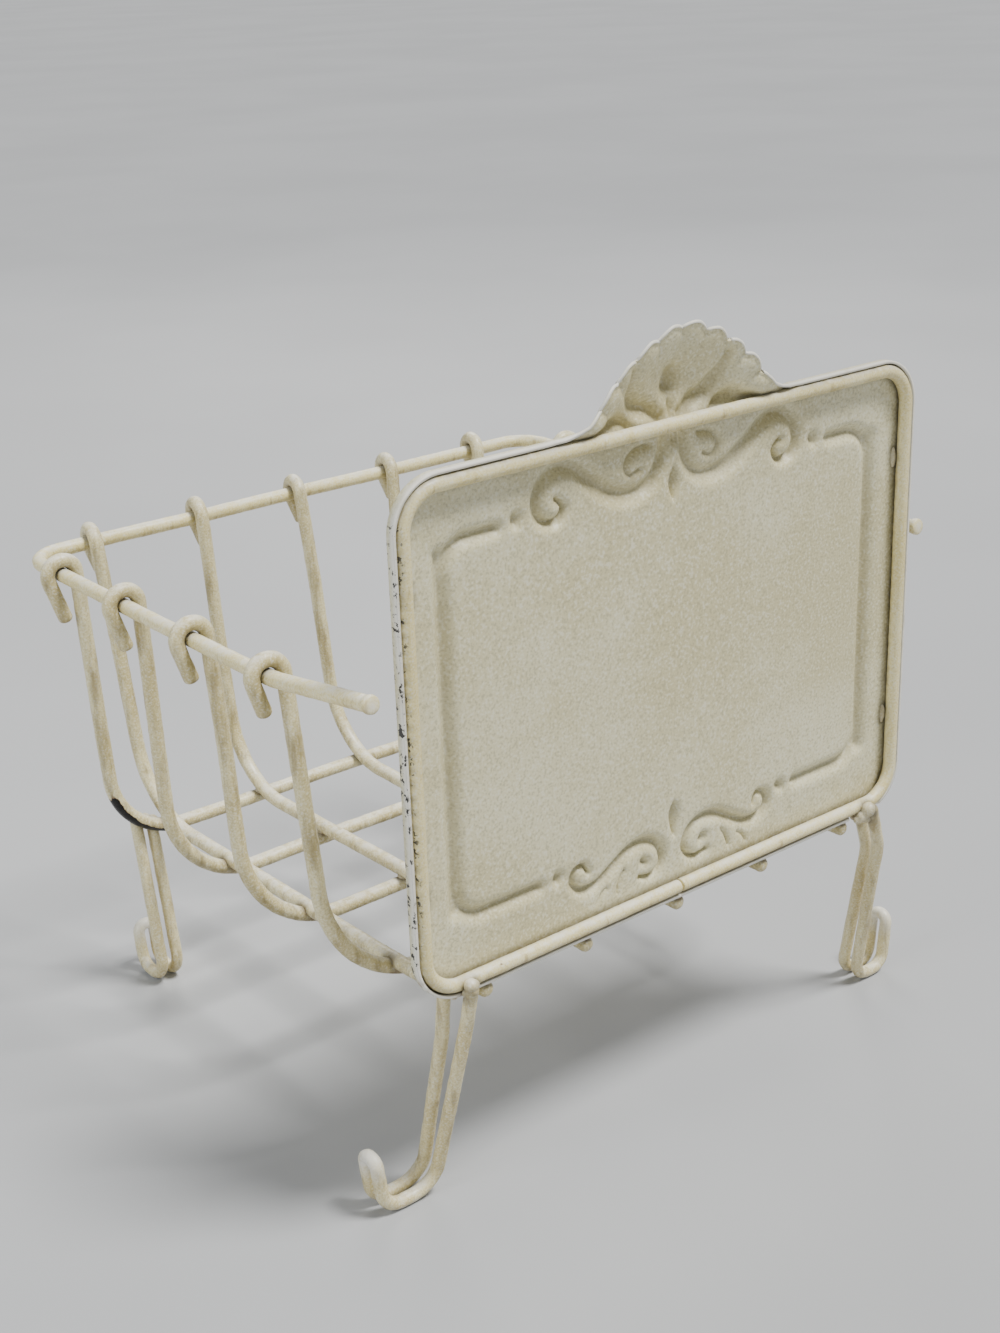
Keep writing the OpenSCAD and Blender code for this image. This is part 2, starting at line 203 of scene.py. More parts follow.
def plate_mesh():
    arc = np.radians(np.arange(90, -1, -5))
    half = np.concatenate([spaced((0, 18, 0.55), (18, 30, 0.34), (30, 50, 0.66), (50, 62, 1.0),
                                  (62, half_wide - corner, 0.66)),
                           half_wide - corner + corner * np.cos(arc)])
    columns = np.concatenate([-half[:0:-1], half])
    low_band, high_band = 26.0, 92.0
    up = np.concatenate([spaced((0, 1, 1 / 46)), 1 + spaced((0, 1, 1 / 20)), 2 + spaced((0, 1, 1 / 62)), [3]])
    x = np.repeat(columns[:, None], up.size, 1)
    bottom = (low_edge + corner_drop(columns))[:, None]
    top = (crest_line(columns) - corner_drop(columns))[:, None]
    z = np.where(up < 1, bottom + (low_band - bottom) * up,
                 np.where(up < 2, low_band + (high_band - low_band) * (up - 1),
                          high_band + (top - high_band) * (up - 2)))
    x, z = x.ravel(), z.ravel()
    y = sheet_y - pressed_depth(x, z)

    # the shell is dished: it stays back in its middle, and its rim leans out, fluted in lobes
    edge_x = np.linspace(-crest_half, crest_half, 260)
    edge_z = crest_line(edge_x)
    crest = np.where((z > high_edge - 8) & (np.abs(x) < crest_half + 6))[0]
    away = np.hypot(x[crest, None] - edge_x, z[crest, None] - edge_z).min(1)
    inside = (smooth(-3.0, 3.0, z[crest] - high_edge)
              * smooth(crest_half + 2, crest_half - 5, np.abs(x[crest])))
    lean = (1 - smooth(0, 10, away)) ** 1.4
    y[crest] += inside * (3.4 * lean - 1.5 * smooth(4, 13, away))
    lobe = scallop(shell_angle(x[crest], z[crest]))
    y[crest] += inside * (1 - smooth(2, 10, away)) * 1.1 * (lobe - 0.6)
    flat = 0.25 * np.sin(x / 41 + 0.6) * np.sin(z / 33)
    y += flat * smooth(0, 20, half_wide - np.abs(x)) * smooth(0, 20, z - low_edge)

    rows = up.size
    grid = np.arange(x.size).reshape(columns.size, rows)
    rim = np.concatenate([grid[:, 0], grid[-1, 1:], grid[-2::-1, -1], grid[0, -2:0:-1]])
    rx, ry, rz = x[rim], y[rim], z[rim]
    out = np.stack([np.roll(rz, -1) - np.roll(rz, 1), -(np.roll(rx, -1) - np.roll(rx, 1))], 1)
    out /= np.linalg.norm(out, axis=1)[:, None]

    on_crest = (1 - smooth(crest_half - 8, crest_half + 1, np.abs(rx))) * (rz > high_edge - 1)
    notch_mid, notch_half = -66.6, 5.0
    notch = smooth(notch_half + 0.5, notch_half - 0.5, np.abs(rx - notch_mid)) * (rz < 0)
    depth = (flange_depth - flange_bend) * (1 - notch * 0.97)
    verts, faces = [np.stack([x, y, z], 1)], []
    worn = [np.zeros(x.size)]
    steps = [("turn", k / 5) for k in range(1, 6)] + [("lip", k / 4) for k in range(1, 5)]
    last = rim
    for kind, share in steps:
        if kind == "turn":
            angle = share * math.pi / 2
            go_out, go_back = flange_bend * math.sin(angle), flange_bend * (1 - math.cos(angle))
            crest_out, crest_back = 0.9 * share, 0.35 * share
        else:
            go_out, go_back = np.full(rx.size, flange_bend), flange_bend + depth * share
            crest_out, crest_back = 0.9 + 0.25 * share, 0.35 + 0.35 * share
        step_out = go_out * (1 - on_crest) + crest_out * on_crest
        step_back = go_back * (1 - on_crest) + crest_back * on_crest
        ring = np.stack([rx + out[:, 0] * step_out, ry + step_back, rz + out[:, 1] * step_out], 1)
        start = sum(len(v) for v in verts)
        verts.append(ring)
        worn.append(np.full(len(ring), 0.35 * share if kind == "turn" else 0.35 + 0.65 * share))
        new = np.arange(start, start + len(ring))
        faces.append(np.stack([last, new, np.roll(new, -1), np.roll(last, -1)], 1))
        last = new
    a, b, c, d = grid[:-1, :-1].ravel(), grid[1:, :-1].ravel(), grid[1:, 1:].ravel(), grid[:-1, 1:].ravel()
    faces.append(np.stack([a, b, c, d], 1))
    verts, faces, worn = np.concatenate(verts), np.concatenate(faces), np.concatenate(worn)
    verts = verts * mm
    verts[:, 2] += frame_base_z
    mesh = bpy.data.meshes.new("pressed_plate")
    mesh.from_pydata(verts.tolist(), [], faces.tolist())
    mesh.attributes.new("worn", "FLOAT", "POINT").data.foreach_set("value", worn.astype(np.float32))
    sunk = np.zeros(len(verts), np.float32)
    sunk[:x.size] = pressed_depth(x, z) / 2.0
    mesh.attributes.new("sunk", "FLOAT", "POINT").data.foreach_set("value", sunk)
    mesh.shade_smooth()
    return mesh


def add_piece(name, mesh):
    """Links a new object at the origin"""
    piece = bpy.data.objects.new(name, mesh)
    bpy.context.scene.collection.objects.link(piece)
    return piece


def make_plain(piece):
    """Turns a piece's modifiers into plain mesh"""
    bpy.context.view_layer.update()
    seen = piece.evaluated_get(bpy.context.evaluated_depsgraph_get())
    mesh = bpy.data.meshes.new_from_object(seen)
    piece.modifiers.clear()
    piece.data = mesh


def paint(red, green, blue):
    """A colour in the maker's 0 to 255 values, as the shader wants it"""
    return tuple((c / 255 / 12.92 if c / 255 <= 0.04045 else ((c / 255 + 0.055) / 1.055) ** 2.4)
                 for c in (red, green, blue)) + (1.0,)


class Shades:
    """A small helper that wires one painted metal material"""

    def __init__(self, name):
        self.material = bpy.data.materials.new(name)
        self.material.use_nodes = True
        self.nodes = self.material.node_tree.nodes
        self.links = self.material.node_tree.links
        self.skin = self.nodes["Principled BSDF"]
        self.place = self.nodes.new("ShaderNodeTexCoord").outputs["Object"]

    def put(self, socket, value):
        if isinstance(value, bpy.types.NodeSocket):
            self.links.new(value, socket)
        else:
            socket.default_value = value

    def grain(self, scale, detail=3.0, rough=0.55, stretch=None):
        node = self.nodes.new("ShaderNodeTexNoise")
        node.inputs["Scale"].default_value = scale
        node.inputs["Detail"].default_value = detail
        node.inputs["Roughness"].default_value = rough
        place = self.place
        if stretch:
            mapping = self.nodes.new("ShaderNodeMapping")
            mapping.inputs["Scale"].default_value = stretch
            self.links.new(place, mapping.inputs["Vector"])
            place = mapping.outputs["Vector"]
        self.links.new(place, node.inputs["Vector"])
        return node.outputs["Fac"]

    def mark(self, name):
        node = self.nodes.new("ShaderNodeAttribute")
        node.attribute_name = name
        return node.outputs["Fac"]

    def facing(self, axis):
        node = self.nodes.new("ShaderNodeNewGeometry")
        split = self.nodes.new("ShaderNodeSeparateXYZ")
        self.links.new(node.outputs["Normal"], split.inputs["Vector"])
        return split.outputs[axis]

    def step(self, value, low, high, bottom=0.0, top=1.0):
        node = self.nodes.new("ShaderNodeMapRange")
        node.interpolation_type = "SMOOTHSTEP"
        self.put(node.inputs["Value"], value)
        for socket, number in zip(("From Min", "From Max", "To Min", "To Max"), (low, high, bottom, top)):
            node.inputs[socket].default_value = number
        return node.outputs["Result"]

    def sum(self, kind, a, b):
        node = self.nodes.new("ShaderNodeMath")
        node.operation = kind
        self.put(node.inputs[0], a)
        self.put(node.inputs[1], b)
        return node.outputs["Value"]

    def blend(self, share, under, over):
        node = self.nodes.new("ShaderNodeMix")
        node.data_type = "RGBA"
        self.put(node.inputs["Factor"], share)
        self.put(node.inputs["A"], under)
        self.put(node.inputs["B"], over)
        return node.outputs["Result"]

    def bump(self, height, strength, distance):
        node = self.nodes.new("ShaderNodeBump")
        node.inputs["Strength"].default_value = strength
        node.inputs["Distance"].default_value = distance
        self.links.new(height, node.inputs["Height"])
        return node.outputs["Normal"]


def sheet_paint():
    """Greige sprayed paint with an orange-peel skin, rubbed pale on the edges, with painted shade in the
    grooves and painted contact shade with grime where a wire lies close
    """
    s = Shades("sheet_paint")
    peel = s.grain(900, 2.0, 0.5)
    speckle = s.grain(1500, 1.0, 0.5)
    cloud = s.grain(28, 3.0, 0.6)
    colour = s.blend(s.step(cloud, 0.35, 0.68), paint(213, 204, 160), paint(227, 221, 184))
    colour = s.blend(s.step(speckle, 0.52, 0.70, 0, 0.55), colour, paint(242, 240, 222))
    colour = s.blend(s.step(speckle, 0.46, 0.30, 0, 0.5), colour, paint(172, 165, 132))
    # painted shade: the paint darkens in the pressed grooves, where shade falls
    groove_shade = s.sum("MULTIPLY", s.step(s.mark("sunk"), 0.05, 0.8), s.step(s.grain(220), 0.3, 0.6, 0.1, 0.3))
    colour = s.blend(groove_shade, colour, paint(158, 148, 112))
    # painted contact shade and grime: the paint darkens where a wire lies close to the sheet
    grime_and_contact_shade = s.sum("MULTIPLY", s.mark("grime_and_contact_shade"), s.step(s.grain(350), 0.2, 0.6, 0.6, 1.0))
    colour = s.blend(grime_and_contact_shade, colour, paint(92, 82, 62))
    rubbed = s.sum("MULTIPLY", s.step(s.mark("worn"), 0.2, 1.0), s.step(s.grain(160), 0.25, 0.5, 0.55, 1.0))
    colour = s.blend(rubbed, colour, paint(238, 235, 224))
    rust = s.sum("MULTIPLY", s.mark("rust"), s.step(s.grain(420), 0.42, 0.58))
    colour = s.blend(rust, colour, paint(112, 78, 46))
    specks = s.sum("MULTIPLY", s.mark("specks"), s.step(s.grain(620, 3.0, 0.6), 0.57, 0.60))
    colour = s.blend(specks, colour, paint(38, 34, 30))
    s.put(s.skin.inputs["Base Color"], colour)
    s.put(s.skin.inputs["Roughness"], s.step(s.grain(90), 0.3, 0.7, 0.40, 0.52))
    s.skin.inputs["Specular IOR Level"].default_value = 0.45
    s.skin.inputs["Coat Weight"].default_value = 0.08
    s.skin.inputs["Coat Roughness"].default_value = 0.3
    height = s.sum("ADD", peel, s.sum("MULTIPLY", specks, -1.5))
    s.put(s.skin.inputs["Normal"], s.bump(height, 0.35, 0.12 * mm))
    return s.material


plate = add_piece("plate_sheet", plate_mesh())
plate.data.materials.append(sheet_paint())
shell = plate.modifiers.new("thickness", "SOLIDIFY")
shell.thickness = sheet_thick * mm
shell.offset = -1
shell.use_even_offset = False
shell.use_quality_normals = True
make_plain(plate)
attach(plate, "root")
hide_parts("plate")


# ---- Wire ----------------------------------------------------------------------------------
# Every wire is drawn steel rod, bent cold on pins, cut with side cutters and dipped in cream
# paint that has gathered in soft lumps. One node tree sweeps a rod along each bent path.

rod = wire_r * mm
ring_step = 0.62 * mm


def bent(points, radii):
    """The middle line of a rod through the points, with a round bend at each inner point"""
    line = [points[0]]
    for before, at, after, radius in zip(points, points[1:], points[2:], radii):
        way, away = (at - before).normalized(), (after - at).normalized()
        turn = way.angle(away)
        start = at - way * radius * math.tan(turn / 2)
        centre = at + (away - way).normalized() * radius / math.cos(turn / 2)
        count = max(3, math.ceil(radius * turn / (ring_step * 0.7)))
        for k in range(count + 1):
            line.append(centre + Quaternion(way.cross(away), turn * k / count) @ (start - centre))
    return line + [points[-1]]


def rod_rings(line, end_round):
    """Even places along a line and the girth at each, drawn in at the two ends"""
    p = np.array([tuple(v) for v in line])
    run = np.concatenate([[0], np.cumsum(np.linalg.norm(np.diff(p, axis=0), axis=1))])
    length = run[-1]
    ends = np.array([0, 0.03, 0.1, 0.22, 0.4, 0.65, 1.0])
    inner = np.arange(end_round[0] + ring_step, length - end_round[1] - ring_step / 2, ring_step)
    along = np.concatenate([ends * end_round[0], inner, length - ends[::-1] * end_round[1]])
    places = np.stack([np.interp(along, run, p[:, k]) for k in range(3)], 1)
    from_end = np.clip(np.minimum(along / end_round[0], (length - along) / end_round[1]), 0, 1)
    girth = 0.12 + 0.88 * np.sqrt(1 - (1 - from_end) ** 2)
    return places, girth, along


def rod_tree():
    """Sweeps a painted rod along an edge path: a slow wander, the rod, and lumps in the paint"""
    tree = bpy.data.node_groups.new("painted_rod", "GeometryNodeTree")
    face = tree.interface
    face.new_socket("Path", in_out="INPUT", socket_type="NodeSocketGeometry")
    for title, value in (("Rod radius", rod), ("Wander", 0.3 * mm), ("Lump height", 0.16 * mm),
                         ("Lump size", 2.4 * mm), ("Seed", 0.0)):
        face.new_socket(title, in_out="INPUT", socket_type="NodeSocketFloat").default_value = value
    face.new_socket("Sides", in_out="INPUT", socket_type="NodeSocketInt").default_value = 26
    face.new_socket("Paint", in_out="INPUT", socket_type="NodeSocketMaterial")
    face.new_socket("Rod", in_out="OUTPUT", socket_type="NodeSocketGeometry")
    nodes, links = tree.nodes, tree.links
    given, made = nodes.new("NodeGroupInput"), nodes.new("NodeGroupOutput")

    def node(kind, **settings):
        n = nodes.new(kind)
        for key, value in settings.items():
            setattr(n, key, value)
        return n

    def math_node(kind, a, b):
        n = node("ShaderNodeMath", operation=kind)
        for socket, value in zip(n.inputs, (a, b)):
            if isinstance(value, bpy.types.NodeSocket):
                links.new(value, socket)
            else:
                socket.default_value = value
        return n.outputs[0]

    curve = node("GeometryNodeMeshToCurve")
    links.new(given.outputs["Path"], curve.inputs["Mesh"])
    # slow wander of a rod bent by hand
    place = node("GeometryNodeInputPosition")
    drift = node("ShaderNodeTexNoise", noise_dimensions="4D")
    drift.inputs["Scale"].default_value = 22
    drift.inputs["Detail"].default_value = 0
    links.new(place.outputs[0], drift.inputs["Vector"])
    links.new(given.outputs["Seed"], drift.inputs["W"])
    centred = node("ShaderNodeVectorMath", operation="SUBTRACT")
    centred.inputs[1].default_value = (0.5, 0.5, 0.5)
    links.new(drift.outputs["Color"], centred.inputs[0])
    scaled = node("ShaderNodeVectorMath", operation="SCALE")
    links.new(centred.outputs[0], scaled.inputs[0])
    links.new(math_node("MULTIPLY", given.outputs["Wander"], 2.0), scaled.inputs["Scale"])
    moved = node("GeometryNodeSetPosition")
    links.new(curve.outputs["Curve"], moved.inputs["Geometry"])
    links.new(scaled.outputs[0], moved.inputs["Offset"])
    # the rod itself
    ring = node("GeometryNodeCurvePrimitiveCircle")
    links.new(given.outputs["Sides"], ring.inputs["Resolution"])
    links.new(given.outputs["Rod radius"], ring.inputs["Radius"])
    girth = node("GeometryNodeInputNamedAttribute", data_type="FLOAT")
    girth.inputs["Name"].default_value = "girth"
    sweep = node("GeometryNodeCurveToMesh")
    sweep.inputs["Fill Caps"].default_value = True
    links.new(moved.outputs["Geometry"], sweep.inputs["Curve"])
    links.new(ring.outputs["Curve"], sweep.inputs["Profile Curve"])
    links.new(girth.outputs["Attribute"], sweep.inputs["Scale"])
    # lumps in the paint
    lump = node("ShaderNodeTexNoise", noise_dimensions="4D")
    lump.inputs["Detail"].default_value = 2.5
    links.new(math_node("DIVIDE", 1.0, given.outputs["Lump size"]), lump.inputs["Scale"])
    links.new(given.outputs["Seed"], lump.inputs["W"])
    centred_lump = math_node("SUBTRACT", lump.outputs["Fac"], 0.5)
    height = math_node("MULTIPLY", centred_lump, given.outputs["Lump height"])
    normal = node("GeometryNodeInputNormal")
    swell = node("ShaderNodeVectorMath", operation="SCALE")
    links.new(normal.outputs[0], swell.inputs[0])
    links.new(math_node("MULTIPLY", height, 2.0), swell.inputs["Scale"])
    lumpy = node("GeometryNodeSetPosition")
    links.new(sweep.outputs["Mesh"], lumpy.inputs["Geometry"])
    links.new(swell.outputs[0], lumpy.inputs["Offset"])
    smoothed = node("GeometryNodeSetShadeSmooth")
    real = node("GeometryNodeRealizeInstances")
    painted = node("GeometryNodeSetMaterial")
    links.new(lumpy.outputs["Geometry"], smoothed.inputs["Geometry"])
    links.new(smoothed.outputs["Geometry"], real.inputs["Geometry"])
    links.new(real.outputs["Geometry"], painted.inputs["Geometry"])
    links.new(given.outputs["Paint"], painted.inputs["Material"])
    links.new(painted.outputs["Geometry"], made.inputs["Rod"])
    return tree


def set_input(modifier, tree, title, value):
    for item in tree.interface.items_tree:
        if item.item_type == "SOCKET" and item.in_out == "INPUT" and item.name == title:
            modifier[item.identifier] = value


rod_nodes = rod_tree()


def wire_piece(name, line, material, seed, thick=rod, end_round=(1.2 * mm, 1.2 * mm), wander=0.3 * mm,
               lump=0.16 * mm, burr=0.0):
    """One painted rod along a line, which stands for the CAD node of the same name"""
    places, girth, along = rod_rings(line, end_round)
    from_end = np.minimum(along, along[-1] - along) / mm
    swell, pinch = np.exp(-((from_end - 1.0) / 0.8) ** 2), np.exp(-((from_end - 2.6) / 0.4) ** 2)
    girth = girth + burr * (swell - 1.1 * pinch)
    path = bpy.data.meshes.new(name)
    count = len(places)
    path.from_pydata(places.tolist(), [(i, i + 1) for i in range(count - 1)], [])
    path.attributes.new("girth", "FLOAT", "POINT").data.foreach_set("value", girth.astype(np.float32))
    path.attributes.new("along", "FLOAT", "POINT").data.foreach_set("value", along.astype(np.float32))
    piece = add_piece(name + "_rod", path)
    sweep = piece.modifiers.new("rod", "NODES")
    sweep.node_group = rod_nodes
    for title, value in (("Rod radius", thick), ("Wander", wander), ("Lump height", lump),
                         ("Seed", float(seed)), ("Paint", material)):
        set_input(sweep, rod_nodes, title, value)
    make_plain(piece)
    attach(piece, "root")
    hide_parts(name)
    return piece


def wire_paint(name, clean, tint, dirt_and_shade_colour, dirty):
    """Cream paint on rod: a painted highlight on top, painted shade on its underside, khaki dirt in its pits,
    painted contact shade with grime where pieces lie close, rust at the welds
    """
    s = Shades(name)
    blotch = s.grain(90, 4.0, 0.6, (1.6, 1.6, 0.45))
    small = s.grain(420, 3.0, 0.6)
    fine = s.grain(1900, 2.0, 0.6)
    colour = s.blend(s.step(blotch, 0.35, 0.65), clean, tint)
    colour = s.blend(s.step(fine, 0.52, 0.66, 0, 0.6), colour, paint(245, 243, 232))
    colour = s.blend(s.step(fine, 0.48, 0.36, 0, 0.25), colour, dirt_and_shade_colour)
    # painted shade: the paint darkens toward the rod's underside, and the dirt pits gather there too
    under = s.step(s.facing("Z"), 0.5, -0.9, 0.0, 0.4)
    streak = s.grain(300, 3.0, 0.6, (1.5, 1.5, 0.22))
    pits_and_under_shade = s.step(s.sum("ADD", streak, s.sum("MULTIPLY", under, 0.25)), 0.60 - 0.1 * dirty, 0.80, 0, 0.7)
    colour = s.blend(pits_and_under_shade, colour, dirt_and_shade_colour)
    # painted shade on the underside, broken up by the blotches
    colour = s.blend(s.sum("MULTIPLY", under, s.step(blotch, 0.3, 0.7, 0.5, 1.0)), colour, dirt_and_shade_colour)
    # painted highlight: pale patches on the rod's upper side, where the light falls
    top = s.sum("MULTIPLY", s.step(s.facing("Z"), 0.25, 0.95), s.step(small, 0.62, 0.38, 0.2, 0.8))
    colour = s.blend(top, colour, paint(242, 239, 226))
    ends = s.sum("MULTIPLY", s.mark("worn"), s.step(small, 0.3, 0.5, 0.4, 1.0))
    colour = s.blend(ends, colour, paint(240, 238, 230))
    # painted contact shade and grime: the paint darkens where another piece lies close
    grime_and_contact_shade = s.sum("MULTIPLY", s.mark("grime_and_contact_shade"), s.step(s.grain(500), 0.25, 0.6, 0.55, 1.0))
    colour = s.blend(grime_and_contact_shade, colour, paint(86, 76, 58))
    rust = s.sum("MULTIPLY", s.mark("rust"), s.step(s.grain(650, 3.0, 0.65), 0.40, 0.56))
    colour = s.blend(rust, colour, paint(108, 68, 42))
    specks = s.sum("MULTIPLY", s.mark("specks"), s.step(s.grain(700, 3.0, 0.6), 0.58, 0.61))
    colour = s.blend(specks, colour, paint(40, 36, 31))
    chip = s.mark("chip")
    edge_noise = s.sum("SUBTRACT", s.grain(520, 4.0, 0.6), 0.5)
    ragged = s.sum("ADD", chip, s.sum("MULTIPLY", edge_noise, 0.9))
    fringe = s.step(ragged, 0.38, 0.5)
    bare = s.step(ragged, 0.49, 0.54)
    colour = s.blend(fringe, colour, paint(120, 92, 62))
    colour = s.blend(bare, colour, paint(30, 28, 26))
    s.put(s.skin.inputs["Base Color"], colour)
    dull = s.sum("ADD", s.step(blotch, 0.3, 0.7, 0.36, 0.50), s.sum("MULTIPLY", grime_and_contact_shade, 0.2))
    s.put(s.skin.inputs["Roughness"], s.sum("SUBTRACT", dull, s.sum("MULTIPLY", bare, 0.12)))
    s.put(s.skin.inputs["Metallic"], s.sum("MULTIPLY", bare, 0.5))
    s.skin.inputs["Specular IOR Level"].default_value = 0.5
    s.skin.inputs["Coat Weight"].default_value = 0.12
    s.skin.inputs["Coat Roughness"].default_value = 0.25
    height = s.sum("ADD", s.sum("MULTIPLY", small, 1.2), s.sum("MULTIPLY", fine, 0.35))
    height = s.sum("SUBTRACT", height, s.sum("MULTIPLY", s.sum("ADD", pits_and_under_shade, bare), 0.8))
    s.put(s.skin.inputs["Normal"], s.bump(height, 0.5, 0.16 * mm))
    return s.material


clean_paint = wire_paint("rail_paint", paint(245, 234, 180), paint(238, 224, 160), paint(170, 148, 90), 0.1)
rib_paint = wire_paint("rib_paint", paint(236, 226, 178), paint(214, 200, 146), paint(132, 114, 70), 1.2)
leg_paint = wire_paint("leg_paint", paint(238, 227, 178), paint(222, 207, 152), paint(142, 122, 74), 0.9)


# ---- Frame wire ----------------------------------------------------------------------------
# A rod bent to a round-cornered rectangle, laid in the plate's flange and tacked to the sheet.
# Its two ends butt in the middle of the lower side and leave a seam.

seam = 0.12 * mm
frame_half = frame_high.x - rod
frame_top_z = frame_high.z - rod
frame_bend = 9.3 * mm
frame_corners = [Vector((x, frame_mid_y, z)) for x, z in (
    (seam, frame_base_z), (frame_half, frame_base_z), (frame_half, frame_top_z),
    (-frame_half, frame_top_z), (-frame_half, frame_base_z), (-seam, frame_base_z))]
frame_rod = wire_piece("frame_wire", bent(frame_corners, [frame_bend] * 4), clean_paint, 1,
                       end_round=(0.35 * mm, 0.35 * mm), wander=0.12 * mm, lump=0.10 * mm)


# ---- Rail ----------------------------------------------------------------------------------
# The basket's top rail: one rod bent to a U. Its two free ends rise a little and stand beside
# the plate, where the cutters have left a burr.

rib_rod = 1.9 * mm
rail_low, rail_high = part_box("top_rail")
arm_x = rail_high.x - rib_rod
front_y = rail_low.y + rib_rod
rail_z = rail_low.z + rib_rod
rail_end_y = frame_mid_y - 1 * mm
rail_turn_y = frame_mid_y - 40 * mm
rail_lift = 5.3 * mm
rail_corner = 9.3 * mm


def arm_lift(y):
    return rail_lift * max(0, (y - rail_turn_y) / (rail_end_y - rail_turn_y))


rail_points = [Vector(p) for p in (
    (arm_x, rail_end_y, rail_z + rail_lift), (arm_x, rail_turn_y, rail_z), (arm_x, front_y, rail_z),
    (-arm_x, front_y, rail_z), (-arm_x, rail_turn_y, rail_z), (-arm_x, rail_end_y, rail_z + rail_lift))]
rail = wire_piece("top_rail", bent(rail_points, [60 * mm, rail_corner, rail_corner, 60 * mm]),
                  clean_paint, 2, rib_rod, (0.4 * mm, 0.4 * mm), wander=0.35 * mm, lump=0.14 * mm, burr=0.13)


# ---- Ribs ----------------------------------------------------------------------------------
# Four U-shaped cross ribs hook over the rail's arms, and five long ribs hook over its front
# and run back to the plate. Each hook goes right round the rail and its tail turns in under it.

hook_r = 2 * rib_rod + 0.05 * mm
floor_inset = hook_r + 4.1 * mm
long_pitch, long_shift = 32.9 * mm, 2 * mm
long_floor_pitch = 29.9 * mm
long_sway = [3 * mm, 3 * mm, -2.4 * mm, 0, 0]
cross_first = front_y + 20.1 * mm
cross_pitch = 32.6 * mm
floor_first = cross_first - 7.2 * mm
floor_pitch = cross_pitch * 1.126
cross_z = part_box("cross_rib_2")[0].z + rib_rod
cross_floor = [cross_first - 1.7 * mm] + [floor_first + i * floor_pitch for i in (1, 2, 3)]
first_rise = 2.7 * mm
first_bend = 21
long_z = cross_z + 2 * rib_rod


def hook(step, turn, drift, tail):
    """A hook's points from its tail: across the rail, along it, and up"""
    way = Vector((-math.tan(math.radians(turn)), -math.tan(math.radians(drift)), -1)).normalized()
    shoulder = Vector((hook_r, -step, -hook_r * math.tan(math.acos(-way.z) / 2) - 0.1 * mm))
    return [shoulder + way * tail, shoulder, Vector((hook_r, -step, hook_r)), Vector((-hook_r, 0, hook_r))]


cross_ribs, long_ribs = [], []
for i in range(4):
    top_y = cross_first + i * cross_pitch
    top_z = rail_z + arm_lift(top_y)
    bend = hook(0.4 * mm, 18, 0, (12.8 - 1.2 * i) * mm)
    sides = {side: [Vector((side * (arm_x + p.x), top_y + p.y, top_z + p.z)) for p in bend]
             for side in (1, -1)}
    low_z, turn_r = (cross_z + first_rise, first_bend * mm) if i == 0 else (cross_z, (24 + 2 * i) * mm)
    low = [Vector((side * (arm_x - floor_inset), cross_floor[i], low_z)) for side in (1, -1)]
    radii = [hook_r] * 3 + [turn_r] * 2 + [hook_r] * 3
    cross_ribs.append(wire_piece("cross_rib_%d" % (i + 1), bent(sides[1] + low + sides[-1][::-1], radii),
                                 rib_paint, 10 + i, rib_rod, wander=0.45 * mm))

plate_foot_z = plate_low.z
rib_end_y = frame_mid_y + 0.3 * mm
rib_end_z = plate_foot_z - rib_rod - 0.5 * mm
long_front_y = front_y + hook_r + 5.5 * mm
rise_y = rib_end_y - 26 * mm


def long_floor_x(index, y):
    """Where a long rib lies at y, as it swings from its front bend to its floor line"""
    return (2 - index) * long_floor_pitch + long_sway[index] * (rise_y - y) / (rise_y - long_front_y)


for i in range(5):
    top_x, low_x = long_shift + (2 - i) * long_pitch, long_floor_x(i, rise_y)
    over = [Vector((top_x + p.y, front_y - p.x, rail_z + p.z)) for p in hook(1.5 * mm, 20, 12, 9 * mm)]
    run = [Vector((long_floor_x(i, long_front_y), long_front_y, long_z)), Vector((low_x, rise_y, long_z)),
           Vector((low_x, rib_end_y - 6.5 * mm, rib_end_z)), Vector((low_x, rib_end_y, rib_end_z))]
    line = bent(over + run, [hook_r] * 3 + [22 * mm, 20 * mm, 8 * mm])
    long_ribs.append(wire_piece("long_rib_%d" % (i + 1), line, rib_paint, 20 + i, rib_rod,
                                wander=0.4 * mm))


# ---- Legs ----------------------------------------------------------------------------------
# Each leg is one rod folded in half like a hairpin: down, round a curled foot and back up
# beside itself. The back pair is welded to the frame wire, the front pair to the first rib.

leg_pitch = 4.8 * mm


def leg_line(first, second, ankle, curl, beside, reach, tip_z):
    toe = ankle + curl * reach
    tip = toe + Vector((0, 0, tip_z - ankle.z)) + curl * 1.6 * mm
    turn = leg_pitch / 2 - 0.01 * mm
    points = first + [ankle, toe, tip, tip + beside, toe + beside, ankle + beside] + second[::-1]
    knees = [16 * mm] * (len(first) - 1)
    return bent(points, knees + [reach * 0.5, reach * 0.38, turn, turn, reach * 0.38, reach * 0.5] + knees)


def back_leg_line(top_x, knee, ankle, reach, tip_z):
    side = math.copysign(1, top_x)
    low = Vector((0, frame_mid_y, frame_base_z))
    step = Vector((0, -leg_pitch, 0))
    first = [low + Vector((top_x, 2 * rod, 0.6 * mm)), low + Vector(knee) * mm]
    second = [low + Vector((top_x + side * 2 * mm, -4.1 * mm, 2.5 * mm)),
              low + Vector(knee) * mm + Vector((side * 2.6, -6, -4)) * mm]
    foot = Vector((ankle[0] * mm, frame_mid_y + ankle[1] * mm, rod))
    return leg_line(first, second, foot, Vector((side, 0, 0)), step, reach * mm, tip_z * mm)


def front_leg_line(side):
    pair = Vector((-side * leg_pitch, 0, 0))
    top = Vector((side * 71 * mm, cross_floor[0] - rib_rod - rod - 0.15 * mm,
                  cross_z + first_rise + 6.2 * mm))
    ankle = Vector((side * 69.6 * mm, top.y + 5.2 * mm, rod))
    second = [top + pair - Vector((0, 0, 3 * mm))]
    return leg_line([top], second, ankle, Vector((0, -1, 0)), pair, 12.2 * mm, 13.6 * mm)


